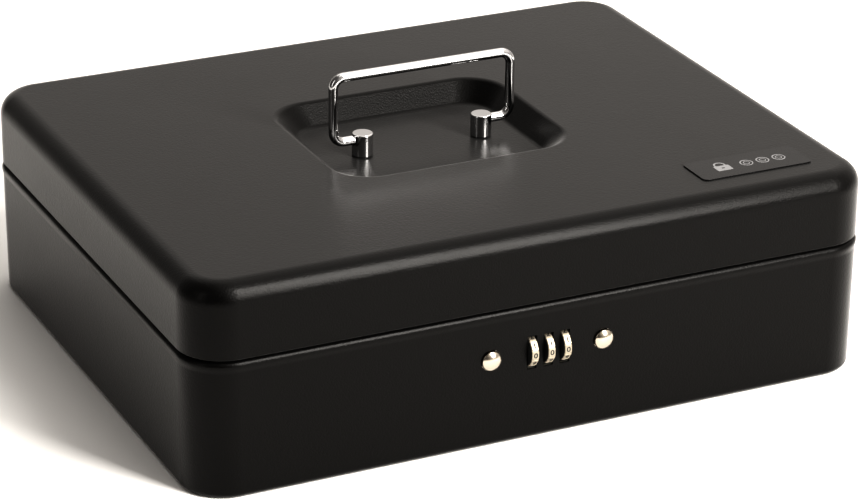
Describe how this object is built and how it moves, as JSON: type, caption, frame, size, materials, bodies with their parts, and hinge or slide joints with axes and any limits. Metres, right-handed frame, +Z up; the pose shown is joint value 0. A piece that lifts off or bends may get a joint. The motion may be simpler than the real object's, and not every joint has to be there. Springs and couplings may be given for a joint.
{
  "type": "cash box",
  "caption": "Black steel cash box with a rear-hinged lid, recessed wire bail handle, three-dial combination lock with two push buttons, and a lift-out coin tray.",
  "frame": {"origin": "middle of the base's flat underside, the face the box stands on", "axes": "+X along the front from left to right as a user faces the lock, +Y from front to rear, +Z up"},
  "size_m": [0.301, 0.2484, 0.1192],
  "materials": {
    "black_paint": "fine satin powder coat",
    "chrome": "polished",
    "nickel": "satin nickel plate",
    "zinc": "zinc plated, slightly mottled",
    "spring_steel": "bare drawn wire and strip",
    "black_plastic": "fine moulded grain",
    "label_film": "semi-gloss printed film"
  },
  "bodies": {
    "base": {"base_shell": "black_paint", "hinge_leaf_base_left": "black_paint", "hinge_leaf_base_right": "black_paint", "hinge_pin_left": "zinc", "hinge_pin_right": "zinc", "tray_ledge_left": "black_paint", "tray_ledge_right": "black_paint", "lock_case": "zinc", "lock_screw_left": "zinc", "lock_screw_right": "zinc", "dial_frame": "zinc", "dial_axle": "zinc", "axle_clip": "spring_steel", "detent_spring": "spring_steel", "button_spring_left": "spring_steel", "button_spring_right": "spring_steel"},
    "lid": {"lid_shell": "black_paint", "lid_keeper": "zinc", "label_plate": "label_film", "hinge_leaf_lid_left": "black_paint", "hinge_leaf_lid_right": "black_paint", "handle_post_left": "chrome", "handle_post_right": "chrome", "post_washer_left": "zinc", "post_washer_right": "zinc"},
    "handle": {"handle_bail": "chrome"},
    "left_dial": {"dial_left": "nickel", "clutch_left": "zinc"},
    "middle_dial": {"dial_middle": "nickel", "clutch_middle": "zinc"},
    "right_dial": {"dial_right": "nickel", "clutch_right": "zinc"},
    "left_button": {"button_left": "nickel"},
    "right_button": {"button_right": "nickel"},
    "latch": {"latch_plate": "zinc"},
    "code_lever": {"change_lever": "zinc"},
    "tray": {"coin_tray": "black_plastic"}
  },
  "joints": [
    {"name": "lid_hinge", "type": "hinge", "parent": "base", "child": "lid", "pos_m": [0, 0.1225, 0.0592], "axis": [-1, 0, 0], "range_deg": [0, 105]},
    {"name": "handle_swing", "type": "hinge", "parent": "lid", "child": "handle", "pos_m": [0.0009, 0, 0.0886], "axis": [1, 0, 0], "range_deg": [-96, 96]},
    {"name": "dial_left_turn", "type": "hinge", "parent": "base", "child": "left_dial", "pos_m": [-0.0069, -0.1168, 0.038], "axis": [1, 0, 0], "continuous": true},
    {"name": "dial_middle_turn", "type": "hinge", "parent": "base", "child": "middle_dial", "pos_m": [0.0004, -0.1168, 0.038], "axis": [1, 0, 0], "continuous": true},
    {"name": "dial_right_turn", "type": "hinge", "parent": "base", "child": "right_dial", "pos_m": [0.0077, -0.1168, 0.038], "axis": [1, 0, 0], "continuous": true},
    {"name": "latch_slide", "type": "slide", "parent": "base", "child": "latch", "axis": [0, 1, 0], "range_m": [0, 0.0022], "stiffness_N_per_m": 600, "springref_m": -0.003, "deforming": ["button_spring_left", "button_spring_right"]},
    {"name": "button_left_press", "type": "slide", "parent": "base", "child": "left_button", "axis": [0, 1, 0], "range_m": [0, 0.0022]},
    {"name": "button_right_press", "type": "slide", "parent": "base", "child": "right_button", "axis": [0, 1, 0], "range_m": [0, 0.0022]},
    {"name": "change_lever_slide", "type": "slide", "parent": "base", "child": "code_lever", "axis": [1, 0, 0], "range_m": [0, 0.006]},
    {"name": "tray_lift", "type": "slide", "parent": "base", "child": "tray", "axis": [0, 0, 1], "range_m": [0, 0.018]}
  ],
  "couplings": [
    {"joint": "button_left_press", "follows": "latch_slide", "ratio": 1},
    {"joint": "button_right_press", "follows": "latch_slide", "ratio": 1}
  ]
}
